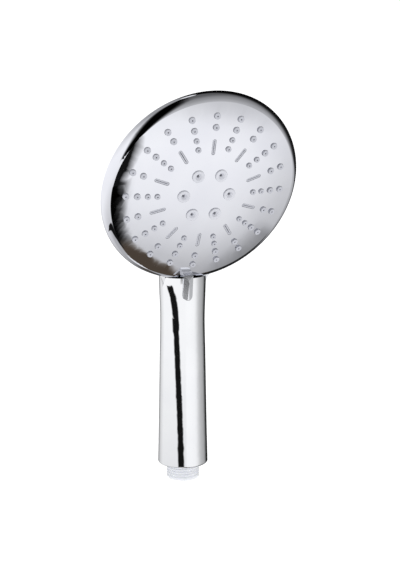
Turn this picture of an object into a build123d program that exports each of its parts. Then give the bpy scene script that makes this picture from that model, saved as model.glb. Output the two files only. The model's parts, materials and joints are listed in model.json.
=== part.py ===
from build123d import *
import math
import os

# Handheld shower head with a three-way selector lever on its rotating spray face.
# Frame: millimetres, +Z up along the handle. The origin is the centre of the inlet
# spigot's end face, and the spray face looks towards -Y and a little downwards.

# ---- driving dimensions: head -------------------------------------------------
FACE_CENTRE = (0, -38.7, 187.7)  # outermost point of the domed face, on the face axis
FACE_TILT = 21.85  # how far the face looks down from the horizontal, degrees
FACE_RADIUS = 63.0  # largest radius of the spray face, at its rim
DOME_RADIUS = 340.0  # sphere that the face is domed to
EDGE_RADIUS = 5.5  # arc that turns the face over into its rim
FACE_WALL = 2.2  # thickness of the face plate
APEX_FLAT = 0.3  # radius of the tiny flat at the middle of the dome
RIM_GAP = 0.35  # gap between the turning face and the fixed shell
BACK_RADIUS = 84.8  # sphere of the head's back
BACK_CENTRE = 46.3  # that sphere's centre, in front of the face centre
SHELL_WALL = 2.5  # thickness of the shell

# ---- driving dimensions: handle and waterway ----------------------------------
HANDLE_BOTTOM = 10.5  # height of the handle's lower end
HANDLE_PROFILE = [(16.05, 10.5), (15.2, 48), (14.4, 90), (14.15, 106), (14.8, 128), (15, 150)]
NECK_RADIUS = 15.0  # handle radius where it turns forward behind the head
NECK_TOP = 165.0  # height at which the neck starts to turn
NECK_TURN = 35.0  # radius of that turn, on the handle's axis
NECK_TURN_ANGLE = 60
HANDLE_EDGE = 0.8  # rounding of the handle's lower edge
LEDGE = 133.5  # height of the neck's front edge, just under the face rim
SHELL_FILLET = 7.0  # blend between the neck and the head's back
THREAD_RADIUS = 10.4775  # standard half-inch pipe thread, outside radius
THREAD_PITCH = 1.814
THREAD_DEPTH = 1.0
THREAD_START = 1.2  # height of the groove's first turn
THREAD_LENGTH = 7.4
THREAD_FLANK = 0.46  # half width of the groove's mouth, as a share of the pitch
THREAD_ROOT = 0.15  # half width of the groove's floor
SPIGOT_BORE = 8.0  # radius of the wide inlet end that holds the strainer
CARTRIDGE_BORE = 7.5  # radius of the bore that holds the check valve
TUBE_RADIUS = 5.9  # outside radius of the waterway tube
TUBE_BORE = 4.2
TUBE_SHIFT = 3.5  # how far back the tube's upper end stands, clear of the face unit
TUBE_TOP = 160.0
TUBE_SEALS = (151.0, 155.5)  # heights of the two O-rings at the tube's upper end
TUBE_BEND = 60.0  # radius of the two gentle bends in the tube
FLANGE_TOP = 16.0
FLANGE_RADIUS = 13.35
FLANGE_SEAL = 13.6  # height of the O-ring round the flange
VALVE_BODY_RADIUS = 9.4  # outside radius of the tube where it holds the check valve
VALVE_BODY_TOP = 29.0
STRAINER_SEAT = 3.3  # depth of the wide inlet end
REGULATOR_HEIGHT = 2.8
REGULATOR_MIDDLE = 4.9
SEAT_HEIGHT = 6.6  # underside of the check valve's housing
CARTRIDGE_TOP = 23.0
SEAT_FLOOR = 2.0  # thickness of the housing's floor
GUIDE_HEIGHT = 2.0  # thickness of the spider that guides the poppet's stem
HOUSING_END_GAP = 0.2
POPPET_THICKNESS = 1.6
STEM_RADIUS = 1.2

# ---- driving dimensions: spray pattern -----------------------------------------
SPOKES = 10  # short spokes and long spokes, each this many
NOZZLE_RINGS = [50.1, 43.25, 36.9, 31.1]
SHORT_SPOKE_RINGS = NOZZLE_RINGS[:2]  # a short spoke has a slot in place of its inner two
NOZZLE_RADII = [1.85, 1.85, 1.6, 1.6]
NOZZLE_HEIGHT = 0.9
NOZZLE_HOLE = 0.45
NOZZLE_CLEARANCE = 0.15
SLOT_RING = 31.15
SLOT_LENGTH = 9.5
SLOT_WIDTH = 2.0
JETS = 6
JET_RING = 14.8
JET_RADIUS = 3.8
JET_HOLE = 0.85
JET_HEIGHT = 0.9  # how far the jets stand out of the face
JET_EDGE = 0.4  # rounding of a jet's front edge
DISH_RADIUS = 2.5  # dish in the jet's front, round its hole
DISH_DEPTH = 1.6
SLIT_LENGTH = 7.9
SLIT_WIDTH = 0.35

# ---- driving dimensions: selector lever ------------------------------------------
LEVER_WIDTH = 6.4
LEVER_BACK = -15.6  # the neck's front surface is at about -14.9
LEVER_FRONT = -18.4
LEVER_TOP = 138.0
LEVER_FOOT = 134.3
LEVER_END = 120.0
LEVER_HEEL = 4.4  # depth of the lever's top, which reaches back onto the face rim
LEVER_ROOF = 1.5  # how far the ridge down the lever's front stands out
FOOT_WIDTH = 4.0
FOOT_DEPTH = 3.4
FOOT_LENGTH = 6.0
FOOT_RING = 57.2  # distance of the foot's middle from the face axis
FOOT_HEIGHT = -7.3

# ---- driving dimensions: face unit, heights along the face axis ------------------
MAT_SHEET = 1.4  # thickness of the rubber nozzle mat
MAT_RADIUS = 55.0
LIP_SINK = 0.12  # how far the slots' rubber lips stay below the face
PLATE_SHEET = 2.0  # thickness of the chamber plate behind it
CHAMBER_BACK = -12.5  # where the chamber cover closes the chambers
COVER_FLANGE = 2.0
COVER_THICKNESS = 5.0
COVER_RADIUS = 54.2
COVER_BOSS_RADIUS = 42.0
CHAMBER_RADIUS = 53.6
OUTER_WALL = 1.8
INNER_WALL = 1.4
MIDDLE_CHAMBER = 19.2  # radius of the massage chamber, where the turbine turns
PIN_BOSS = 3.0
COVER_SEAL = (50.9, 52.3)  # inner and outer radius of the cover's square ring
COVER_SEAL_DEPTH = 0.85
BASE_FRONT = -18.0
BASE_THICKNESS = 3.0
BASE_RADIUS = 44.0
HUB_RADIUS = 7.0
HUB_CLEARANCE = 0.06
PORT_RING = 33.5
PORT_RADIUS = 2.6
MIST_PORT_RADIUS = 1.5
SETTINGS = (-1, 0, 1)
LEVER_STEP = 25  # angle between two settings
LEVER_ANGLE = -2.8  # the lever stands a little to one side of the handle's middle
SCREW_RING = 47.0
FACE_SCREWS = 5
BASE_SCREW_RING = 38.0
BASE_SCREWS = 4
BASE_SCREW_START = 45
BASE_SCREW_SINK = 1.6  # how deep the base's screw heads are sunk
COVER_SCREW_SINK = 0.9
BOSS_RADIUS = 2.6  # screw bosses inside the face plate
BOSS_HEIGHT = 8.5
PILLAR_RADIUS = 3.6  # screw pillars inside the shell
PILOT_RADIUS = 1.2  # thread-forming holes in bosses and pillars
PILOT_DEPTH = 6.0
TURBINE_PIN = 1.5
TURBINE_PIN_TOP = -4.6
TURBINE_FRONT = -6.6
TURBINE_BACK = -9.8
SHUTTER_RADIUS = 18.0
SHUTTER_THICKNESS = 0.8
MASSAGE_RING = 13.0  # distance from the axis at which water enters the middle chamber
DUCT_DEPTH = 2.5
SEAL_POCKET = 4.8
SEAL_POCKET_DEPTH = 4.2
SEAL_CUP_DEPTH = 2.0
SOCKET_BOTTOM = 146.0
SOCKET_TOP = 172.0
SOCKET_RADIUS = 8.0
SOCKET_BORE = 6.0
DETENT_RING = 30.0
NOSE_RADIUS = 3.0  # rounded nose of the detent leaf
NOSE_CENTRE = BASE_FRONT - 1.9
NOSE_WIDTH = 4.6
NOSE_CLEARANCE = 0.2
LEAF_THICKNESS = 0.4
GAP = 0.05  # assembly clearance between pieces that do not move on each other
EASE = 0.2  # clearance of the rubber mat and the plate round bosses and jets
FAR = 40.0  # reach of cuts that pass through the whole face unit

# ---- heights and radii that follow from these -------------------------------------
EDGE_CENTRE = FACE_RADIUS - EDGE_RADIUS
EDGE_HEIGHT = math.sqrt((DOME_RADIUS - EDGE_RADIUS) ** 2 - EDGE_CENTRE**2) - DOME_RADIUS
RIM_PLANE = EDGE_HEIGHT - RIM_GAP
RIM_CLEARANCE = RIM_GAP + 0.1
MAT_FRONT = FACE_WALL + GAP
MAT_BACK = MAT_FRONT + MAT_SHEET
PLATE_FRONT = MAT_BACK + GAP
PLATE_BACK = PLATE_FRONT + PLATE_SHEET
COVER_BACK = CHAMBER_BACK - COVER_THICKNESS
BASE_BACK = BASE_FRONT - BASE_THICKNESS

os.makedirs("parts", exist_ok=True)

tilt = math.radians(FACE_TILT)
FACE = Plane(origin=FACE_CENTRE, x_dir=(1, 0, 0), z_dir=(0, -math.cos(tilt), -math.sin(tilt)))


def save(name, shape):
    export_step(shape, f"parts/{name}.step")


def on_face(shape):
    """Places a piece modelled about the face axis into the head."""
    return FACE.location * shape


def disc(radius, low, high, inner=0.0):
    """Round plate or ring about the face axis between two heights."""
    profile = Circle(radius) - Circle(inner) if inner else Circle(radius)
    return Pos(0, 0, low) * extrude(profile, high - low)


def ring_of(profile, radius, count, start=90):
    """The same profile repeated on a circle, turned with it."""
    return Sketch() + [place * profile for place in PolarLocations(radius, count, start)]


def torus_ring(radius, section, height):
    return Pos(0, 0, height) * Torus(radius, section)


def dome_cap(radius, inset):
    """Everything behind the domed surface, out to this radius."""
    ball = Pos(0, 0, -DOME_RADIUS) * Sphere(DOME_RADIUS - inset)
    return ball & disc(radius, -FAR, 1)


# ---- the spray face ---------------------------------------------------------------
def face_solid(grow):
    """The face's outer form grown by this much all round, solid down to its rim."""
    arc = EDGE_RADIUS + grow
    share = EDGE_CENTRE / (DOME_RADIUS - EDGE_RADIUS)
    tangent = (EDGE_CENTRE + arc * share, EDGE_HEIGHT + arc * math.sqrt(1 - share**2))
    flat_height = math.sqrt((DOME_RADIUS + grow) ** 2 - APEX_FLAT**2) - DOME_RADIUS
    top = (0, flat_height)
    flat_edge = (APEX_FLAT, flat_height)
    middle_radius = tangent[0] / 2
    middle = (middle_radius, math.sqrt((DOME_RADIUS + grow) ** 2 - middle_radius**2) - DOME_RADIUS)
    corner = (EDGE_CENTRE + arc * math.sqrt(0.5), EDGE_HEIGHT + arc * math.sqrt(0.5))
    rim = (EDGE_CENTRE + arc, EDGE_HEIGHT)
    axis_foot = (0, EDGE_HEIGHT)
    outline = [
        Line(top, flat_edge),
        ThreePointArc(flat_edge, middle, tangent),
        ThreePointArc(tangent, corner, rim),
        Line(rim, axis_foot),
        Line(axis_foot, top),
    ]
    return revolve(Plane.XZ * make_face(outline), Axis.Z)


def circles_at_nozzles(radii):
    """A circle at every round nozzle, with one radius for each ring."""
    circles = Sketch()
    for ring, radius in zip(NOZZLE_RINGS, radii):
        circles += ring_of(Circle(radius), ring, SPOKES, 90 + 180 / SPOKES)
    for ring, radius in zip(SHORT_SPOKE_RINGS, radii):
        circles += ring_of(Circle(radius), ring, SPOKES)
    return circles


def nozzle_sketch(extra):
    """All the round nozzles, each grown by this much."""
    return circles_at_nozzles([radius + extra for radius in NOZZLE_RADII])


def nozzle_holes(radius):
    """The small water hole of every round nozzle."""
    return circles_at_nozzles([radius] * len(NOZZLE_RINGS))


def slot_sketch(extra):
    slot = SlotOverall(SLOT_LENGTH + 2 * extra, SLOT_WIDTH + 2 * extra)
    return ring_of(slot, SLOT_RING, SPOKES)


def through(sketch, low=-FAR, high=4.0):
    """The sketch drawn out along the face axis between two heights."""
    return Pos(0, 0, low) * extrude(sketch, high - low)


def jet_sketch(radius):
    return ring_of(Circle(radius), JET_RING, JETS, 0)


def screw_sketch(radius):
    return ring_of(Circle(radius), SCREW_RING, FACE_SCREWS, 90 + 90 / SPOKES)


def face_plate():
    """Domed front plate with a hole for every nozzle, slot and jet."""
    hollow = face_solid(-FACE_WALL) + disc(FACE_RADIUS - FACE_WALL, CHAMBER_BACK, EDGE_HEIGHT)
    shell = face_solid(0) - hollow
    shell += through(screw_sketch(BOSS_RADIUS), CHAMBER_BACK, CHAMBER_BACK + BOSS_HEIGHT)
    holes = nozzle_sketch(NOZZLE_CLEARANCE) + slot_sketch(NOZZLE_CLEARANCE) + jet_sketch(JET_RADIUS + GAP)
    shell -= through(holes)
    shell -= through(screw_sketch(PILOT_RADIUS), CHAMBER_BACK, CHAMBER_BACK + PILOT_DEPTH)
    shell -= lever_foot(GAP)
    return on_face(shell)


# ---- the selector lever --------------------------------------------------------------
def lever_foot(grow):
    """Tongue under the lever that plugs into the face plate's edge."""
    tongue = Box(FOOT_WIDTH + 2 * grow, FOOT_DEPTH + 2 * grow, FOOT_LENGTH)
    tongue = Pos(0, -FOOT_RING, FOOT_HEIGHT) * tongue
    return Rot(0, 0, LEVER_ANGLE) * tongue


def selector_lever():
    """Lever that hangs from the face's lower edge, in front of the neck."""
    heel = LEVER_BACK + LEVER_HEEL
    shoulder = (LEVER_FRONT, LEVER_TOP - 7.5)
    tip = (LEVER_FRONT + 0.2, LEVER_END + 1.6)
    outline = [
        Spline(
            (LEVER_BACK + 2.6, LEVER_TOP),
            (LEVER_FRONT + 1.4, LEVER_TOP - 2.6),
            shoulder,
            tangents=[(-1, -0.25), (0, -1)],
        ),
        Line(shoulder, tip),
        Spline(
            tip,
            (LEVER_FRONT + 1.4, LEVER_END),
            (LEVER_BACK, LEVER_END + 1.2),
            tangents=[(0, -1), (0.4, 1)],
        ),
        Line((LEVER_BACK, LEVER_END + 1.2), (LEVER_BACK, LEVER_FOOT)),
        Line((LEVER_BACK, LEVER_FOOT), (heel, LEVER_FOOT)),
        Line((heel, LEVER_FOOT), (heel, LEVER_TOP)),
        Line((heel, LEVER_TOP), (LEVER_BACK + 2.6, LEVER_TOP)),
    ]
    side = Plane.YZ * make_face(outline)
    blade = extrude(side, LEVER_WIDTH / 2, both=True)
    middle = (LEVER_TOP + LEVER_END) / 2
    front = SlotOverall(LEVER_TOP - LEVER_END + 6, LEVER_WIDTH, rotation=90)
    blade &= Pos(0, 0, 3) * extrude(Plane.XZ * Pos(0, middle) * front, FAR)
    half = LEVER_WIDTH / 2
    facet = LEVER_FRONT + LEVER_ROOF
    roof = Polygon((0, LEVER_FRONT), (half, facet), (half, 0), (-half, 0), (-half, facet), align=None)
    blade &= Pos(0, 0, middle - FAR / 2) * extrude(roof, FAR)
    local = FACE.location.inverse() * blade
    local = Rot(0, 0, LEVER_ANGLE) * local
    local -= face_solid(0.02)
    local += lever_foot(0) & (face_solid(0.5) - face_solid(-4.5))
    return on_face(local)


# ---- the rest of the turning face unit ------------------------------------------------
def nozzle_mat():
    """Rubber sheet with a nipple for each round nozzle and a lip for each slot."""
    behind = dome_cap(FACE_RADIUS, MAT_BACK)
    sheet = dome_cap(MAT_RADIUS, MAT_FRONT) - behind
    nipples = through(nozzle_sketch(0)) & dome_cap(FACE_RADIUS, -NOZZLE_HEIGHT)
    lips = through(slot_sketch(0)) & dome_cap(FACE_RADIUS, LIP_SINK)
    mat = sheet + (nipples - behind) + (lips - behind)
    mat -= through(jet_sketch(JET_RADIUS + EASE) + screw_sketch(BOSS_RADIUS + EASE))
    mat -= through(nozzle_holes(NOZZLE_HOLE) + slot_slits())
    return on_face(mat)


def slot_slits():
    return ring_of(SlotOverall(SLIT_LENGTH, SLIT_WIDTH), SLOT_RING, SPOKES)


def jet_inserts():
    """Raised jets at the centre: each has a dish that narrows to a small hole."""
    place = Pos(JET_RING, 0, 0)
    jet = (place * disc(JET_RADIUS, -FAR, 4)) & dome_cap(FACE_RADIUS, -JET_HEIGHT)
    jet = fillet(jet.edges().sort_by(Axis.Z)[-1], JET_EDGE)
    jet -= dome_cap(FACE_RADIUS, MAT_BACK)
    dish = Pos(0, 0, JET_HEIGHT - DISH_DEPTH / 2) * Cone(JET_HOLE, DISH_RADIUS, DISH_DEPTH)
    jet -= place * (dish + disc(JET_HOLE, -FAR, JET_HEIGHT))
    jets = [Rot(0, 0, turn * 360 / JETS) * jet for turn in range(JETS)]
    return on_face(Compound(children=jets))


def star(channel, box_length, box_width):
    """Channel round the middle that opens into a box behind each slot."""
    boxes = ring_of(SlotOverall(box_length, box_width), SLOT_RING - 1.5, SPOKES)
    return Circle(channel) + boxes


def spray_plate():
    """Plate behind the mat, with the walls that part the three chambers."""
    plate = dome_cap(CHAMBER_RADIUS, PLATE_FRONT) & disc(CHAMBER_RADIUS + 1, CHAMBER_BACK, 0)
    rain_chamber = Circle(CHAMBER_RADIUS - OUTER_WALL) - star(26.2, 16.2, 6.0)
    mist_chamber = star(24.8, 13.4, 3.2) - Circle(MIDDLE_CHAMBER + INNER_WALL)
    massage_chamber = Circle(MIDDLE_CHAMBER) - Circle(PIN_BOSS)
    chambers = rain_chamber + mist_chamber + massage_chamber
    plate -= through(chambers, CHAMBER_BACK - 1, 0) & dome_cap(FACE_RADIUS, PLATE_BACK)
    plate -= disc(PIN_BOSS + 1, CHAMBER_BACK - 1, TURBINE_FRONT + 1)
    plate -= through(nozzle_holes(NOZZLE_HOLE + 0.35))
    plate -= through(slot_slits())
    plate -= through(jet_sketch(2 * JET_HOLE))
    plate -= through(screw_sketch(BOSS_RADIUS + EASE))
    plate -= disc(TURBINE_PIN, CHAMBER_BACK, TURBINE_PIN_TOP)
    return on_face(plate)


def turbine_pin():
    return on_face(disc(TURBINE_PIN, TURBINE_BACK - 0.3, TURBINE_PIN_TOP))


def massage_turbine():
    """Bladed wheel with a half shutter that opens the middle jets in turn."""
    wheel = disc(3.4, TURBINE_BACK, TURBINE_FRONT)
    height = TURBINE_FRONT - TURBINE_BACK
    blade = Pos(9.6, 0, (TURBINE_BACK + TURBINE_FRONT) / 2) * Box(13.6, 1.0, height)
    for turn in range(JETS):
        wheel += Rot(0, 0, turn * 360 / JETS) * blade
    half = Circle(SHUTTER_RADIUS)
    half &= Pos(0, SHUTTER_RADIUS / 2) * Rectangle(2 * SHUTTER_RADIUS, SHUTTER_RADIUS)
    wheel += Pos(0, 0, TURBINE_FRONT - SHUTTER_THICKNESS) * extrude(half, SHUTTER_THICKNESS)
    wheel -= disc(TURBINE_PIN + HUB_CLEARANCE, TURBINE_BACK - 1, TURBINE_FRONT + 1)
    return on_face(wheel)


def port_at(setting, radius):
    """Place of the port that one lever setting opens."""
    angle = math.radians(-90 + setting * LEVER_STEP)
    return Pos(radius * math.cos(angle), radius * math.sin(angle))


def chamber_cover():
    """Back of the face unit: three ports, one for each lever setting."""
    flange_back = CHAMBER_BACK - COVER_FLANGE
    behind = COVER_BACK - 1
    duct_height = COVER_BACK + DUCT_DEPTH
    cover = disc(COVER_RADIUS, flange_back, CHAMBER_BACK - GAP)
    cover += disc(COVER_BOSS_RADIUS, COVER_BACK, CHAMBER_BACK - GAP)
    cover -= disc(HUB_RADIUS + HUB_CLEARANCE, behind, 0)
    cover -= port_at(0, PORT_RING) * disc(MIST_PORT_RADIUS, behind, 0)
    cover -= port_at(1, PORT_RING) * disc(PORT_RADIUS, behind, 0)
    cover -= port_at(-1, PORT_RING) * disc(PORT_RADIUS, behind, duct_height)
    cover -= port_at(-1, MASSAGE_RING) * disc(PORT_RADIUS, duct_height, 0)
    duct = Box(PORT_RING - MASSAGE_RING, 4.0, 1.8)
    duct = Pos((PORT_RING + MASSAGE_RING) / 2, 0, duct_height - 0.1) * duct
    cover -= Rot(0, 0, -90 - LEVER_STEP) * duct
    cover -= through(screw_sketch(1.7), behind, 0)
    cover -= through(screw_sketch(3.0), behind, flange_back + COVER_SCREW_SINK)
    for setting in SETTINGS:
        cover -= detent_groove(setting)
    inner, outer = COVER_SEAL
    groove = disc(outer + 0.1, CHAMBER_BACK - COVER_SEAL_DEPTH - GAP, 0, inner=inner - 0.1)
    return on_face(cover - groove)


def detent_groove(setting):
    """Radial groove in the cover's back for one lever setting."""
    groove = Rot(90, 0, 0) * Cylinder(NOSE_RADIUS + NOSE_CLEARANCE, NOSE_WIDTH + 0.8)
    return Rot(0, 0, setting * LEVER_STEP) * Pos(0, DETENT_RING, NOSE_CENTRE) * groove


def chamber_seal():
    """Square rubber ring between the chamber cover and the spray plate's outer wall."""
    inner, outer = COVER_SEAL
    return on_face(disc(outer, CHAMBER_BACK - COVER_SEAL_DEPTH, CHAMBER_BACK - 0.02, inner=inner))


def pan_screw(head_radius, head_height, shank_radius, length):
    """Screw pointing along +Z with its head's underside at zero."""
    screw = Pos(0, 0, -head_height / 2) * Cylinder(head_radius, head_height)
    screw += Pos(0, 0, length / 2) * Cylinder(shank_radius, length)
    reach = head_radius * 1.1
    recess = Box(0.7, reach, 1.4) + Box(reach, 0.7, 1.4)
    return screw - Pos(0, 0, -head_height) * recess


def screws_at(radius, count, start, height, screw):
    """A group of equal screws on a circle about the face axis."""
    group = [place * Pos(0, 0, height) * screw for place in PolarLocations(radius, count, start)]
    return on_face(Compound(children=group))


def cover_screws():
    screw = pan_screw(2.6, 1.5, 1.15, COVER_FLANGE + 5.0)
    seat = CHAMBER_BACK - COVER_FLANGE + COVER_SCREW_SINK - GAP
    return screws_at(SCREW_RING, FACE_SCREWS, 90 + 90 / SPOKES, seat, screw)


# ---- fixed base behind the face unit ----------------------------------------------------
def base_screw_sketch(radius):
    return ring_of(Circle(radius), BASE_SCREW_RING, BASE_SCREWS, BASE_SCREW_START)


def diverter_base():
    """Fixed plate with the hub that the face turns on and one water port."""
    plate = disc(BASE_RADIUS, BASE_BACK, BASE_FRONT)
    plate += disc(10.5, BASE_BACK - 2, BASE_FRONT)
    plate += disc(HUB_RADIUS, BASE_FRONT, -10.8)
    groove = disc(HUB_RADIUS + 1, -12.3, -11.4) - disc(6.2, -13, -11)
    ring_seat = disc(HUB_RADIUS + 1, -16.0, -14.2) - disc(5.25, -17, -14)
    plate -= groove + ring_seat
    plate -= disc(2.5, -40, -12)
    plate += port_at(0, PORT_RING) * disc(SEAL_POCKET + OUTER_WALL, BASE_BACK - 6, BASE_FRONT)
    plate = on_face(plate)
    socket_height = SOCKET_TOP - SOCKET_BOTTOM
    socket = Cylinder(SOCKET_RADIUS, socket_height)
    socket = Pos(0, TUBE_SHIFT, SOCKET_BOTTOM + socket_height / 2) * socket
    plate += socket - on_face(disc(FACE_RADIUS, BASE_FRONT, 10))
    bore_height = socket_height - 2
    bore = Cylinder(SOCKET_BORE, bore_height)
    plate -= Pos(0, TUBE_SHIFT, SOCKET_BOTTOM + bore_height / 2) * bore
    plate -= on_face(port_at(0, PORT_RING) * disc(SEAL_POCKET, BASE_FRONT - SEAL_POCKET_DEPTH, 0))
    plate -= on_face(port_at(0, PORT_RING) * disc(3.0, BASE_BACK - 9, BASE_FRONT))
    plate -= on_face(through(base_screw_sketch(1.8), BASE_BACK - 1, 0))
    plate -= on_face(through(base_screw_sketch(3.2), BASE_FRONT - BASE_SCREW_SINK, 0))
    spring_slot = Pos(0, DETENT_RING, BASE_FRONT) * Box(16, 5.2, 3.2)
    return plate - on_face(spring_slot)


def port_seal():
    """Rubber cup that is pressed against the back of the chamber cover."""
    low = BASE_FRONT - SEAL_CUP_DEPTH
    cup = disc(SEAL_POCKET - 0.1, low, COVER_BACK - 0.08)
    cup -= disc(PORT_RADIUS, low - 1, 0)
    return on_face(port_at(0, PORT_RING) * cup)


def coil(radius, wire, pitch, height):
    """Round wire wound as an open spring from zero height upwards."""
    path = Helix(pitch, height, radius)
    section = Plane(origin=path @ 0, z_dir=path % 0) * Circle(wire)
    return sweep(section, path, is_frenet=True)


def port_spring():
    """Small coil that presses the port seal forward."""
    wire = 0.35
    low = BASE_FRONT - SEAL_POCKET_DEPTH + wire + GAP
    height = BASE_FRONT - SEAL_CUP_DEPTH - wire - 2 * GAP - low
    spring = Pos(0, 0, low) * coil(4.0, wire, 0.8, height)
    return on_face(port_at(0, PORT_RING) * spring)


def hub_ring():
    """Open spring ring in the hub's groove that keeps the face unit on its hub."""
    ring = disc(8.4, -12.2, -11.5, inner=6.3)
    return on_face(ring - Pos(8, 0, -12) * Box(6, 2.4, 3))


def hub_seal():
    return on_face(torus_ring(6.15, 0.82, -15.1))


def base_screws():
    screw = Rot(180, 0, 0) * pan_screw(3.0, 1.4, 1.4, 6.5)
    seat = BASE_FRONT - BASE_SCREW_SINK + GAP
    return screws_at(BASE_SCREW_RING, BASE_SCREWS, BASE_SCREW_START, seat, screw)


def detent_spring():
    """Bent leaf whose rounded nose clicks into the cover's three grooves."""
    leaf = Pos(0, DETENT_RING, BASE_FRONT - 1.2) * Box(15.4, NOSE_WIDTH, LEAF_THICKNESS)
    arch = Pos(0, NOSE_CENTRE) * (Circle(NOSE_RADIUS) - Circle(NOSE_RADIUS - LEAF_THICKNESS))
    nose = extrude(Plane.XZ.offset(-DETENT_RING) * arch, NOSE_WIDTH / 2, both=True)
    nose &= Pos(0, DETENT_RING, BASE_FRONT) * Box(10, NOSE_WIDTH + 1, 2.6)
    return on_face(leaf + nose)


# ---- shell ------------------------------------------------------------------------------
def half_space_front(height):
    """Everything in front of a plane across the face axis."""
    return on_face(Pos(0, 0, height + 100) * Box(300, 400, 200))


def back_ball(inset):
    ball = on_face(Pos(0, 0, BACK_CENTRE) * Sphere(BACK_RADIUS - inset))
    return ball - half_space_front(RIM_PLANE)


def handle_form(inset, bottom, end_radius=0.0):
    """Tapered handle that turns forward into the head at its top."""
    side = [(radius - inset, height) for radius, height in HANDLE_PROFILE]
    top = NECK_RADIUS - inset
    corners = [side[-1], (top, NECK_TOP), (0, NECK_TOP), (0, bottom)]
    if bottom < side[0][1]:
        corners.append((side[0][0], bottom))
    corners.append(side[0])
    outline = [Spline(side, tangents=[(-0.25, 10), (0, 1)]), Polyline(corners)]
    straight = revolve(Plane.XZ * make_face(outline), Axis.Z)
    if end_radius:
        straight = fillet(straight.edges().sort_by(Axis.Z)[0], end_radius)
    turn_axis = Axis((0, -NECK_TURN, NECK_TOP), (1, 0, 0))
    turn = revolve(Pos(0, 0, NECK_TOP) * Circle(top), turn_axis, NECK_TURN_ANGLE)
    return straight + turn


def handle_shell():
    """Head back, neck and handle in one hollow piece."""
    outer = back_ball(0) + handle_form(0, HANDLE_BOTTOM, HANDLE_EDGE)
    outer = fillet([edge for edge in outer.edges() if is_neck_joint(edge)], SHELL_FILLET)
    shell = outer - back_ball(SHELL_WALL) - handle_form(SHELL_WALL, HANDLE_BOTTOM - 5)
    front = half_space_front(RIM_PLANE) & Pos(0, 0, LEDGE + 100) * Box(300, 300, 200)
    shell -= front
    seat = face_solid(RIM_CLEARANCE) + disc(FACE_RADIUS + RIM_CLEARANCE, RIM_PLANE, EDGE_HEIGHT)
    shell -= on_face(seat)
    pillars = through(base_screw_sketch(PILLAR_RADIUS), -FAR, BASE_BACK - GAP)
    shell += on_face(pillars) & back_ball(0.8)
    return shell - on_face(through(base_screw_sketch(PILOT_RADIUS), BASE_BACK - PILOT_DEPTH, 0))


def is_neck_joint(edge):
    """True for the edges where the neck runs into the round back of the head."""
    middle = edge @ 0.5
    local = FACE.to_local_coords(middle)
    on_ball = abs(math.hypot(local.X, local.Y, local.Z - BACK_CENTRE) - BACK_RADIUS) < 0.05
    in_rim = local.Z > RIM_PLANE - 0.05
    return on_ball and not in_rim and edge.geom_type != GeomType.CIRCLE


# ---- waterway ------------------------------------------------------------------------------
def tube_path():
    return FilletPolyline(
        (0, 0, 30), (0, 0, 48), (0, TUBE_SHIFT, 128), (0, TUBE_SHIFT, TUBE_TOP), radius=TUBE_BEND
    )


def thread_groove():
    """Groove of the pipe thread, wound round the spigot."""
    path = Helix(THREAD_PITCH, THREAD_LENGTH, THREAD_RADIUS)
    mouth = THREAD_PITCH * THREAD_FLANK + 0.1
    corners = [(0.3, mouth), (-THREAD_DEPTH, THREAD_ROOT), (-THREAD_DEPTH, -THREAD_ROOT), (0.3, -mouth)]
    tooth = Polygon(*corners, align=None)
    section = Plane(origin=path @ 0, x_dir=(1, 0, 0), z_dir=(0, -1, 0)) * tooth
    return Pos(0, 0, THREAD_START) * sweep(section, path, is_frenet=True)


def waterway_tube():
    """Inner tube, with the threaded spigot moulded on its lower end."""
    spigot = Pos(0, 0, HANDLE_BOTTOM / 2) * Cylinder(THREAD_RADIUS, HANDLE_BOTTOM)
    spigot = chamfer(spigot.edges().group_by(Axis.Z)[0], 0.8)
    spigot -= thread_groove()
    flange_height = FLANGE_TOP - HANDLE_BOTTOM
    flange = Pos(0, 0, HANDLE_BOTTOM + flange_height / 2) * Cylinder(FLANGE_RADIUS, flange_height)
    flange -= Pos(0, 0, FLANGE_SEAL) * (Cylinder(FLANGE_RADIUS + 1, 2) - Cylinder(11.5, 2))
    body_height = VALVE_BODY_TOP - FLANGE_TOP + 1
    body = Pos(0, 0, VALVE_BODY_TOP - body_height / 2) * Cylinder(VALVE_BODY_RADIUS, body_height)
    shoulder = Pos(0, 0, VALVE_BODY_TOP + 2) * Cone(VALVE_BODY_RADIUS, TUBE_RADIUS, 4)
    path = tube_path()
    pipe = sweep(Plane(origin=path @ 0, z_dir=(0, 0, 1)) * Circle(TUBE_RADIUS), path)
    tube = spigot + flange + body + shoulder + pipe
    for height in TUBE_SEALS:
        tube -= Pos(0, TUBE_SHIFT, height) * (Cylinder(TUBE_RADIUS + 1, 1.9) - Cylinder(4.95, 1.9))
    hollow = sweep(Plane(origin=path @ 0, z_dir=(0, 0, 1)) * Circle(TUBE_BORE), path)
    tube -= hollow
    tube -= Pos(0, 0, 27) * Cylinder(TUBE_BORE, 8)
    tube -= Pos(0, 0, CARTRIDGE_TOP / 2) * Cylinder(CARTRIDGE_BORE, CARTRIDGE_TOP)
    return tube - Pos(0, 0, STRAINER_SEAT / 2) * Cylinder(SPIGOT_BORE, STRAINER_SEAT)


def tube_seals():
    """Two O-rings at the tube's upper end, inside the base's socket."""
    return Compound(children=[Pos(0, TUBE_SHIFT, z) * Torus(5.46, 0.5) for z in TUBE_SEALS])


def handle_seal():
    return Pos(0, 0, FLANGE_SEAL) * Torus(12.5, 0.95)


def inlet_strainer():
    """Fine strainer in the mouth of the spigot."""
    frame = Pos(0, 0, 1.7) * (Cylinder(SPIGOT_BORE - GAP, 2.2) - Cylinder(6.9, 2.2))
    mesh = Pos(0, 0, 1.2) * Cylinder(7.0, 0.5)
    holes = GridLocations(1.5, 1.5, 9, 9)
    kept = [spot for spot in holes if math.hypot(spot.position.X, spot.position.Y) < 6.2]
    mesh_holes = Sketch() + [spot * Rectangle(0.9, 0.9) for spot in kept]
    return frame + mesh - extrude(mesh_holes, 4)


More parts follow.
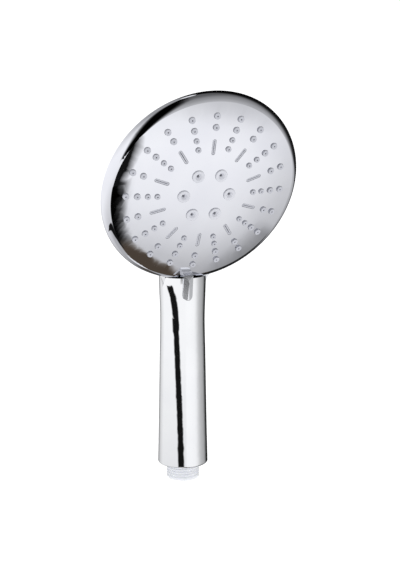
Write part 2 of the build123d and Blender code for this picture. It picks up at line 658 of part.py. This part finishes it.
def flow_regulator():
    """Slotted disc that keeps the flow even."""
    body = Pos(0, 0, REGULATOR_MIDDLE) * Cylinder(CARTRIDGE_BORE - GAP, REGULATOR_HEIGHT)
    body -= Pos(0, 0, 4.2) * (Cylinder(6.0, 1.6) - Cylinder(3.0, 1.6))
    slots = Sketch() + [place * Rectangle(2.2, 1.2) for place in PolarLocations(4.6, 8)]
    return body - extrude(slots, 12)


def regulator_ring():
    return Pos(0, 0, 4.25) * Torus(4.1, 0.72)


def check_valve_housing():
    """Cage that guides the check valve's poppet above its seat."""
    low = SEAT_HEIGHT
    high = CARTRIDGE_TOP - HOUSING_END_GAP
    floor = low + SEAT_FLOOR
    cage = Pos(0, 0, (low + high) / 2) * Cylinder(CARTRIDGE_BORE - GAP, high - low)
    cage -= Pos(0, 0, (floor + high) / 2) * Cylinder(6.2, high - floor)
    cage -= Pos(0, 0, low + SEAT_FLOOR / 2) * Cylinder(3.6, 2 * SEAT_FLOOR)
    guide = Pos(0, 0, high - GUIDE_HEIGHT / 2)
    arms = Box(13.4, 1.6, GUIDE_HEIGHT) + Box(1.6, 13.4, GUIDE_HEIGHT)
    cage += guide * ((arms + Cylinder(2.4, GUIDE_HEIGHT)) & Cylinder(7, GUIDE_HEIGHT))
    cage -= guide * Cylinder(STEM_RADIUS + 0.1, 2 * GUIDE_HEIGHT)
    return cage - Pos(0, 0, low + 4) * (Cylinder(8, 1.5) - Cylinder(6.7, 1.5))


def check_valve_seal():
    return Pos(0, 0, SEAT_HEIGHT + 4) * Torus(7.1, 0.36)


def check_valve_poppet():
    """Disc that closes on the housing's floor, with a guide stem above it."""
    seat = SEAT_HEIGHT + SEAT_FLOOR + 0.1
    head = Pos(0, 0, seat + POPPET_THICKNESS / 2) * Cylinder(4.8, POPPET_THICKNESS)
    nose = Pos(0, 0, seat - 0.5) * Cone(2.4, 3.3, 1.0)
    stem_top = CARTRIDGE_TOP + 0.8
    stem = Pos(0, 0, (seat + stem_top) / 2) * Cylinder(STEM_RADIUS, stem_top - seat)
    return head + nose + stem


def check_valve_spring():
    wire = 0.3
    low = SEAT_HEIGHT + SEAT_FLOOR + 0.1 + POPPET_THICKNESS + wire + 0.1
    high = CARTRIDGE_TOP - HOUSING_END_GAP - GUIDE_HEIGHT - wire - 0.1
    return Pos(0, 0, low) * coil(2.1, wire, 1.7, high - low)


PIECES = [
    handle_shell,
    waterway_tube,
    tube_seals,
    handle_seal,
    inlet_strainer,
    flow_regulator,
    regulator_ring,
    check_valve_housing,
    check_valve_seal,
    check_valve_poppet,
    check_valve_spring,
    diverter_base,
    base_screws,
    port_seal,
    port_spring,
    hub_ring,
    hub_seal,
    detent_spring,
    face_plate,
    selector_lever,
    nozzle_mat,
    jet_inserts,
    spray_plate,
    turbine_pin,
    massage_turbine,
    chamber_cover,
    chamber_seal,
    cover_screws,
]

for piece in PIECES:
    save(piece.__name__, piece())
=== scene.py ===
import bpy
import json
import math
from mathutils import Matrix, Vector


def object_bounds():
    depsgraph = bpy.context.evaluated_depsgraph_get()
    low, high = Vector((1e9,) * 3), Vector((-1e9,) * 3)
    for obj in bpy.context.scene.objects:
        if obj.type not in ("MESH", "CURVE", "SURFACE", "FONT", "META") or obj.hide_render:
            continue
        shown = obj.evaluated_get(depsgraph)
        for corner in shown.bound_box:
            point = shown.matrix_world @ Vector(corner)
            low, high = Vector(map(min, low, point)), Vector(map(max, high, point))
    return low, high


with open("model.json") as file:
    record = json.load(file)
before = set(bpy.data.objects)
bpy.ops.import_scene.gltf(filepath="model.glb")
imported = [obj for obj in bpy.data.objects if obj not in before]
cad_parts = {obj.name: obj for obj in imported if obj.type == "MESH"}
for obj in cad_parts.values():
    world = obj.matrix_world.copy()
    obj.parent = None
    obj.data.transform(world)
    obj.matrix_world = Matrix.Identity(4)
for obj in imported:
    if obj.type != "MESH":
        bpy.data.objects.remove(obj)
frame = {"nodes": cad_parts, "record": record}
cad_box = [list(corner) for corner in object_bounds()]
nodes = frame["nodes"]


# ---- shader helpers ---------------------------------------------------------------
def new_material(name):
    """Empty node material; returns it with its node tree and its Principled shader."""
    material = bpy.data.materials.new(name)
    material.use_nodes = True
    tree = material.node_tree
    shader = tree.nodes["Principled BSDF"]
    return material, tree, shader


def noise(tree, scale, detail=2.0, roughness=0.5):
    """Procedural noise over the piece's own coordinates, in metres."""
    place = tree.nodes.new("ShaderNodeTexCoord")
    texture = tree.nodes.new("ShaderNodeTexNoise")
    texture.inputs["Scale"].default_value = scale
    texture.inputs["Detail"].default_value = detail
    texture.inputs["Roughness"].default_value = roughness
    tree.links.new(place.outputs["Object"], texture.inputs["Vector"])
    return texture.outputs["Fac"]


def spread(tree, source, low, high, start=0.3, end=0.7):
    """Maps a noise value to a range."""
    node = tree.nodes.new("ShaderNodeMapRange")
    node.inputs["From Min"].default_value = start
    node.inputs["From Max"].default_value = end
    node.inputs["To Min"].default_value = low
    node.inputs["To Max"].default_value = high
    tree.links.new(source, node.inputs["Value"])
    return node.outputs["Result"]


def bump(tree, shader, height, strength, distance):
    """Fine relief from a noise; distance is its depth in metres."""
    node = tree.nodes.new("ShaderNodeBump")
    node.inputs["Strength"].default_value = strength
    node.inputs["Distance"].default_value = distance
    tree.links.new(height, node.inputs["Height"])
    tree.links.new(node.outputs["Normal"], shader.inputs["Normal"])


def tinted(tree, shader, dark, light, source):
    """Base colour that drifts between two tones with a noise."""
    mix = tree.nodes.new("ShaderNodeMix")
    mix.data_type = "RGBA"
    mix.inputs["A"].default_value = (*dark, 1)
    mix.inputs["B"].default_value = (*light, 1)
    tree.links.new(source, mix.inputs["Factor"])
    tree.links.new(mix.outputs["Result"], shader.inputs["Base Color"])


# ---- materials --------------------------------------------------------------------
CHROME_SMUDGE = 45  # noise scales are in cycles per metre, roughly
CHROME_RIPPLE = 18
CLOUD = 120
POWDER = 260
RUBBER_GRAIN = 4000
SCRATCHES = 500
SCRATCH_STRETCH = (1, 1, 12)
DARKER = 0.8  # the steel's dark tone, as a share of its light one


def chrome(name, dark, light, polish, haze):
    """Chrome plating: bright, with faint water haze and a very slight ripple."""
    material, tree, shader = new_material(name)
    shader.inputs["Metallic"].default_value = 1.0
    smudge = noise(tree, CHROME_SMUDGE, 4)
    tinted(tree, shader, dark, light, spread(tree, smudge, 0, 1))
    roughness = spread(tree, smudge, polish, haze, 0.45, 0.8)
    tree.links.new(roughness, shader.inputs["Roughness"])
    bump(tree, shader, noise(tree, CHROME_RIPPLE, 1), 0.004, 0.0004)
    return material


def plastic(name, dark, light, rough, grain=900, milky=0.0):
    """Moulded plastic with a fine grain; milky lets light into it."""
    material, tree, shader = new_material(name)
    cloud = noise(tree, CLOUD, 3)
    tinted(tree, shader, dark, light, spread(tree, cloud, 0, 1))
    roughness = spread(tree, cloud, rough * 0.85, rough * 1.2)
    tree.links.new(roughness, shader.inputs["Roughness"])
    shader.inputs["Subsurface Weight"].default_value = milky
    shader.inputs["Subsurface Radius"].default_value = (0.004, 0.004, 0.0045)
    shader.inputs["Subsurface Scale"].default_value = 0.5
    bump(tree, shader, noise(tree, grain, 2), 0.06, 0.00004)
    return material


def rubber(name, dark, light, rough):
    """Soft moulded rubber: matte, with a powdery grain."""
    material, tree, shader = new_material(name)
    cloud = noise(tree, POWDER, 4)
    tinted(tree, shader, dark, light, spread(tree, cloud, 0, 1))
    roughness = spread(tree, cloud, rough * 0.9, rough * 1.15)
    tree.links.new(roughness, shader.inputs["Roughness"])
    shader.inputs["Sheen Weight"].default_value = 0.1
    bump(tree, shader, noise(tree, RUBBER_GRAIN, 2), 0.1, 0.00002)
    return material


def steel(name, tone, rough):
    """Drawn or pressed steel with fine scratches along one direction."""
    material, tree, shader = new_material(name)
    shader.inputs["Metallic"].default_value = 1.0
    place = tree.nodes.new("ShaderNodeTexCoord")
    stretch = tree.nodes.new("ShaderNodeMapping")
    stretch.inputs["Scale"].default_value = SCRATCH_STRETCH
    grain = tree.nodes.new("ShaderNodeTexNoise")
    grain.inputs["Scale"].default_value = SCRATCHES
    tree.links.new(place.outputs["Object"], stretch.inputs["Vector"])
    tree.links.new(stretch.outputs["Vector"], grain.inputs["Vector"])
    scratch = grain.outputs["Fac"]
    tinted(tree, shader, [DARKER * c for c in tone], tone, scratch)
    roughness = spread(tree, scratch, rough * 0.7, rough * 1.4)
    tree.links.new(roughness, shader.inputs["Roughness"])
    bump(tree, shader, scratch, 0.1, 0.00005)
    return material


# Finish of each material slot. Chrome: dark tone, light tone, polish, haze. Plastic and
# rubber: dark tone, light tone, roughness. Steel: tone, roughness.
FINISHES = {
    "chrome_shell": chrome(
        "polished chrome", (0.86, 0.87, 0.90), (0.90, 0.91, 0.93), 0.02, 0.05),
    "face_chrome": chrome(
        "face chrome", (0.79, 0.80, 0.86), (0.83, 0.84, 0.89), 0.02, 0.04),
    "jet_plastic": plastic(
        "jet plastic", (0.60, 0.61, 0.66), (0.66, 0.67, 0.72), 0.22),
    "grey_silicone": rubber(
        "grey silicone", (0.46, 0.47, 0.52), (0.52, 0.53, 0.58), 0.40),
    "clear_white_plastic": plastic(
        "milky plastic", (0.80, 0.82, 0.86), (0.86, 0.87, 0.90), 0.3, grain=700, milky=0.35),
    "white_plastic": plastic(
        "white plastic", (0.78, 0.78, 0.76), (0.84, 0.84, 0.82), 0.4),
    "grey_plastic": plastic(
        "grey plastic", (0.22, 0.23, 0.25), (0.27, 0.28, 0.30), 0.45),
    "regulator_plastic": plastic(
        "regulator plastic", (0.06, 0.24, 0.12), (0.08, 0.30, 0.15), 0.3),
    "valve_plastic": plastic(
        "valve plastic", (0.04, 0.10, 0.28), (0.06, 0.13, 0.34), 0.3),
    "black_rubber": rubber(
        "black rubber", (0.012, 0.012, 0.013), (0.022, 0.022, 0.024), 0.55),
    "spring_steel": steel("spring steel", (0.62, 0.62, 0.64), 0.22),
    "strainer_steel": steel("strainer steel", (0.58, 0.58, 0.60), 0.3),
}
LEVER_FINISH = chrome("lever chrome", (0.84, 0.86, 0.90), (0.88, 0.89, 0.93), 0.2, 0.26)


def dress_nodes():
    """Every CAD node takes the finish of its material slot; the lever is a little softer."""
    slots = {part["node"]: part["material_slot"] for part in frame["record"]["subparts"]}
    for name, piece in nodes.items():
        finish = LEVER_FINISH if name == "selector_lever" else FINISHES[slots[name]]
        piece.data.materials.clear()
        piece.data.materials.append(finish)


dress_nodes()


# ---- stage ------------------------------------------------------------------------
FLOOR_DROP = 0.35
FLOOR_HALF = 12
FLOOR_GLOW = 0.35
BACKDROP_RADIUS = 11
BACKDROP_GLOW = 1.2
ROOM_LIGHT = 0.95
WHITE = (1, 1, 1)


def glowing(name, strength, colour=WHITE):
    """Material that only gives off light."""
    material = bpy.data.materials.new(name)
    material.use_nodes = True
    tree = material.node_tree
    tree.nodes.clear()
    glow = tree.nodes.new("ShaderNodeEmission")
    glow.inputs["Strength"].default_value = strength
    glow.inputs["Color"].default_value = (*colour, 1)
    out = tree.nodes.new("ShaderNodeOutputMaterial")
    tree.links.new(glow.outputs["Emission"], out.inputs["Surface"])
    return material


def stage_piece(name, points, faces, material):
    """Mesh that stands round the object and isn't part of it."""
    mesh = bpy.data.meshes.new(name)
    mesh.from_pydata(points, [], faces)
    mesh.materials.append(material)
    piece = bpy.data.objects.new(name, mesh)
    bpy.context.collection.objects.link(piece)
    return piece


def floor():
    """Pale studio floor, well below the piece; it stays out of the mirror reflections."""
    lowest = Vector(cad_box[0])
    z = lowest.z - FLOOR_DROP
    corners = [(-FLOOR_HALF, -FLOOR_HALF, z), (FLOOR_HALF, -FLOOR_HALF, z),
               (FLOOR_HALF, FLOOR_HALF, z), (-FLOOR_HALF, FLOOR_HALF, z)]
    material, tree, shader = new_material("pale floor")
    shader.inputs["Roughness"].default_value = 0.9
    shader.inputs["Emission Color"].default_value = (*WHITE, 1)
    shader.inputs["Emission Strength"].default_value = FLOOR_GLOW
    tinted(tree, shader, (0.86, 0.86, 0.87), (0.88, 0.88, 0.89), noise(tree, 3, 2))
    piece = stage_piece("floor", corners, [(0, 1, 2, 3)], material)
    piece.visible_glossy = False


def backdrop():
    """White surroundings that only the camera sees."""
    bpy.ops.mesh.primitive_uv_sphere_add(segments=48, ring_count=24, radius=BACKDROP_RADIUS)
    piece = bpy.context.object
    piece.name = "backdrop"
    piece.data.materials.append(glowing("white backdrop", BACKDROP_GLOW))
    piece.visible_glossy = False
    piece.visible_diffuse = False
    piece.visible_transmission = False
    piece.visible_shadow = False


floor()
backdrop()


# ---- studio light -----------------------------------------------------------------
# A light tent stands round the piece and two dark cards stand close to it. Only mirror
# surfaces see them; the even white room lights everything else. Side 0 degrees is
# toward the camera and positive sides are to its right; heights are in metres.
CAMERA_SIDE = math.radians(113.2)
TENT_RADIUS = 0.35
TENT_BOTTOM = -0.9
TENT_TOP = 0.9
TENT_REACH = 3.0  # the tent goes on this far up and down, plain
TENT_COLUMNS = 240
TENT_ROWS = 150
DISPLAY_GAMMA = 2.2
TENT_GAIN = 1.12  # makes up for what the chrome takes away

# Brightness as displayed, 0 to 1, against height on the tent.
LEFT_WHITE = [(-0.65, 0.69), (-0.40, 0.78), (-0.15, 0.87), (0.02, 0.96), (0.25, 0.985),
              (0.35, 0.92), (0.50, 0.76), (0.70, 0.60)]
UPPER_GREY = [(0.10, 0.76), (0.15, 0.71), (0.20, 0.67), (0.30, 0.59), (0.40, 0.55),
              (0.50, 0.47), (0.70, 0.37)]
FRONT_GLOW = [(-0.50, 0.78), (-0.35, 0.87), (-0.20, 0.94), (0.00, 0.98), (0.10, 0.94)]
UPPER_FROM = 0.05  # heights over which the front glow gives way to the upper grey
UPPER_TO = 0.13
# Brightness against side, right of the dark band.
RIGHT_FALL = [(40, 1.0), (60, 0.985), (70, 0.95), (82, 0.84), (92, 0.76), (116, 0.66),
              (127, 0.54), (139, 0.22), (165, 0.10)]
# Dark line at the right, above and below the band of heights that the handle mirrors.
RIGHT_LINE = [(40, 1.0), (60, 0.985), (70, 0.95), (80, 0.86), (90, 0.58), (97, 0.35),
              (104, 0.20), (180, 0.10)]
HANDLE_ZONE = (-0.13, 0.07)
ZONE_FADE = 0.04
# Far left, as the side goes on round the back.
LEFT_FALL = [(-180, 0.30), (-160, 0.42), (-148, 0.72), (-130, 0.90), (-105, 1.0)]
# Dark band on the tent: height, dark from, dark to, fade on its left, fade on its right.
BAND = [(-0.58, 14, 50, 22, 14), (-0.50, 18, 37, 18, 8), (-0.45, 18, 28, 14, 7),
        (-0.30, 13, 20.5, 8, 5), (-0.12, 10, 17, 8, 6), (0.05, 0, 14, 10, 10),
        (0.20, -6, 9, 18, 14), (0.30, -11, 7, 24, 16), (0.50, -19, 4, 26, 22),
        (0.70, -23, -6, 26, 30)]
BAND_LEVEL = 0.03
BROWN = (0.30, 0.265, 0.23)  # the band turns to this between two heights
BROWN_FROM = -0.38
BROWN_TO = -0.48
BAND_GAP = (-0.11, 0.052)  # heights between which a near card stands in for the band
GAP_FROM = 12  # sides over which the left white gives way to the right in that gap
GAP_TO = 22
# Lowest part, brown all round but for the left: heights and sides over which it comes in.
LOW_FROM = -0.54
LOW_TO = -0.60
LOW_RIGHT = (8, 35)
LOW_BACK = (-170, -140)


def curve(stops, x, column=1):
    """Value of a piecewise linear curve."""
    if x <= stops[0][0]:
        return stops[0][column]
    for before, after in zip(stops, stops[1:]):
        if x <= after[0]:
            share = (x - before[0]) / (after[0] - before[0])
            return before[column] + share * (after[column] - before[column])
    return stops[-1][column]


def ease(x, start, end):
    """Smooth step from 0 at start to 1 at end."""
    share = min(max((x - start) / (end - start), 0.0), 1.0)
    return share * share * (3 - 2 * share)


def right_light(side, height):
    """Brightness of the tent right of the dark band."""
    upper = ease(height, UPPER_FROM, UPPER_TO)
    light = curve(FRONT_GLOW, height) * (1 - upper) + curve(UPPER_GREY, height) * upper
    below, above = HANDLE_ZONE
    beside = ease(height, above, above + ZONE_FADE) + ease(height, below, below - ZONE_FADE)
    return light * (curve(RIGHT_FALL, side) * (1 - beside) + curve(RIGHT_LINE, side) * beside)


def tent_colour(side, height):
    """Light of the tent toward one side at one height."""
    dark_from, dark_to, fade_left, fade_right = (
        curve(BAND, height, column) for column in (1, 2, 3, 4))
    left = curve(LEFT_WHITE, height) * curve(LEFT_FALL, side)
    right = right_light(side, height)
    if BAND_GAP[0] < height < BAND_GAP[1]:
        around = left + (right - left) * ease(side, GAP_FROM, GAP_TO)
        dark = 0
    elif side < dark_to:
        around = left
        dark = ease(side, dark_from - fade_left, dark_from)
    else:
        around = right
        dark = 1 - ease(side, dark_to, dark_to + fade_right)
    low_sides = ease(side, *LOW_RIGHT) + 1 - ease(side, *LOW_BACK)
    low = ease(height, LOW_FROM, LOW_TO) * low_sides
    turned = ease(height, BROWN_FROM, BROWN_TO)
    colour = []
    for brown in BROWN:
        band = BAND_LEVEL + (brown - BAND_LEVEL) * turned
        level = around + (band - around) * dark
        level += (brown - level) * low
        colour.append(level ** DISPLAY_GAMMA * TENT_GAIN)
    return colour


def mirror_only(piece):
    """Seen in reflections and nowhere else."""
    piece.visible_camera = False
    piece.visible_diffuse = False
    piece.visible_shadow = False
    piece.visible_transmission = False


def on_tent(side, height, radius):
    """Point on an upright cylinder round the origin."""
    angle = math.radians(side) - CAMERA_SIDE
    return (radius * math.cos(angle), radius * math.sin(angle), height)


def read_colour(tree, name):
    """Node that reads a value stored at the mesh's points."""
    read = tree.nodes.new("ShaderNodeAttribute")
    read.attribute_name = name
    return read


def tent():
    """Cylinder round the piece, with its light stored at each of its points."""
    points = []
    colours = []
    row_height = (TENT_TOP - TENT_BOTTOM) / TENT_ROWS
    heights = [TENT_BOTTOM + row_height * row for row in range(TENT_ROWS + 1)]
    heights = [-TENT_REACH, *heights, TENT_REACH]
    for height in heights:
        for column in range(TENT_COLUMNS):
            side = -180 + 360 * column / TENT_COLUMNS
            points.append(on_tent(side, height, TENT_RADIUS))
            colours.extend([*tent_colour(side, height), 1.0])
    faces = []
    for row in range(len(heights) - 1):
        here, above = row * TENT_COLUMNS, (row + 1) * TENT_COLUMNS
        for column in range(TENT_COLUMNS):
            beside = (column + 1) % TENT_COLUMNS
            faces.append((here + column, here + beside, above + beside, above + column))
    material = glowing("light tent", 1.0)
    piece = stage_piece("light tent", points, faces, material)
    paint = piece.data.color_attributes.new("light", "FLOAT_COLOR", "POINT")
    paint.data.foreach_set("color", colours)
    tree = material.node_tree
    light = read_colour(tree, "light").outputs["Color"]
    tree.links.new(light, tree.nodes["Emission"].inputs["Color"])
    mirror_only(piece)


CARD_GLOW = 0.008


def card(name, radius, rows, soft):
    """Dark upright card with soft edges; rows give height, side from and side to."""
    points = []
    darkness = []
    for height, side_from, side_to in rows:
        for side, dark in ((side_from - soft, 0), (side_from + soft, 1),
                           (side_to - soft, 1), (side_to + soft, 0)):
            points.append(on_tent(side, height, radius))
            darkness.append(dark)
    faces = [(4 * row + k, 4 * row + k + 1, 4 * row + k + 5, 4 * row + k + 4)
             for row in range(len(rows) - 1) for k in range(3)]
    material = glowing(name, CARD_GLOW)
    piece = stage_piece(name, points, faces, material)
    shade = piece.data.attributes.new("dark", "FLOAT", "POINT")
    shade.data.foreach_set("value", darkness)
    tree = material.node_tree
    clear = tree.nodes.new("ShaderNodeBsdfTransparent")
    mix = tree.nodes.new("ShaderNodeMixShader")
    tree.links.new(read_colour(tree, "dark").outputs["Fac"], mix.inputs["Fac"])
    tree.links.new(clear.outputs["BSDF"], mix.inputs[1])
    tree.links.new(tree.nodes["Emission"].outputs["Emission"], mix.inputs[2])
    tree.links.new(mix.outputs["Shader"], tree.nodes["Material Output"].inputs["Surface"])
    mirror_only(piece)


def between(before, here, there, after, t):
    """Catmull-Rom value at share t of the way from here to there."""
    return 0.5 * (2 * here + (there - before) * t
                  + (2 * before - 5 * here + 4 * there - after) * t * t
                  + (3 * here - before - 3 * there + after) * t ** 3)


def smooth_rows(rows, steps=6):
    """The same rows with more in between, on a smooth curve."""
    last = len(rows) - 1
    fine = []
    for k in range(last):
        four = (rows[max(k - 1, 0)], rows[k], rows[k + 1], rows[min(k + 2, last)])
        for part in range(steps):
            fine.append(tuple(between(*values, part / steps) for values in zip(*four)))
    fine.append(rows[-1])
    return fine


# Strip along the handle and the card beside the face: height, side from, side to.
HANDLE_STRIP = [(-0.018, -19, 7), (0.014, -23, 2), (0.041, -31, -4), (0.070, -39, -12),
                (0.085, -46, -17), (0.096, -59, -26), (0.103, -69, -38), (0.108, -78, -48)]
STRIP_RADIUS = 0.10
STRIP_SOFT = 2.5
FACE_CARD = [(0.108, -5, 3), (0.125, -4, 4), (0.140, -3, 6), (0.165, -2, 8), (0.172, -2, 8)]
FACE_CARD_RADIUS = 0.13
FACE_CARD_SOFT = 2.0


def room():
    """Even white room."""
    white = bpy.data.worlds.new("studio")
    bpy.context.scene.world = white
    white.use_nodes = True
    light = white.node_tree.nodes["Background"]
    light.inputs["Color"].default_value = (*WHITE, 1)
    light.inputs["Strength"].default_value = ROOM_LIGHT


room()
tent()
card("handle strip", STRIP_RADIUS, smooth_rows(HANDLE_STRIP), STRIP_SOFT)
card("face card", FACE_CARD_RADIUS, smooth_rows(FACE_CARD), FACE_CARD_SOFT)


# ---- camera -----------------------------------------------------------------------
CAMERA_AT = Vector((-0.2933, -0.7127, 0.2738))
CAMERA_LOOK = Vector((0.38691, 0.90284, -0.18754))
CAMERA_LENS = 78.24
CAMERA_SENSOR = 36
NEAREST = 0.01
FARTHEST = 100


def camera():
    """Camera at the photograph's viewing angle."""
    data = bpy.data.cameras.new("camera")
    data.sensor_width = CAMERA_SENSOR
    data.lens = CAMERA_LENS
    data.clip_start = NEAREST
    data.clip_end = FARTHEST
    piece = bpy.data.objects.new("camera", data)
    bpy.context.collection.objects.link(piece)
    piece.location = CAMERA_AT
    piece.rotation_mode = "QUATERNION"
    piece.rotation_quaternion = CAMERA_LOOK.to_track_quat("-Z", "Y")
    bpy.context.scene.camera = piece


camera()
bpy.context.scene.view_settings.view_transform = "Standard"
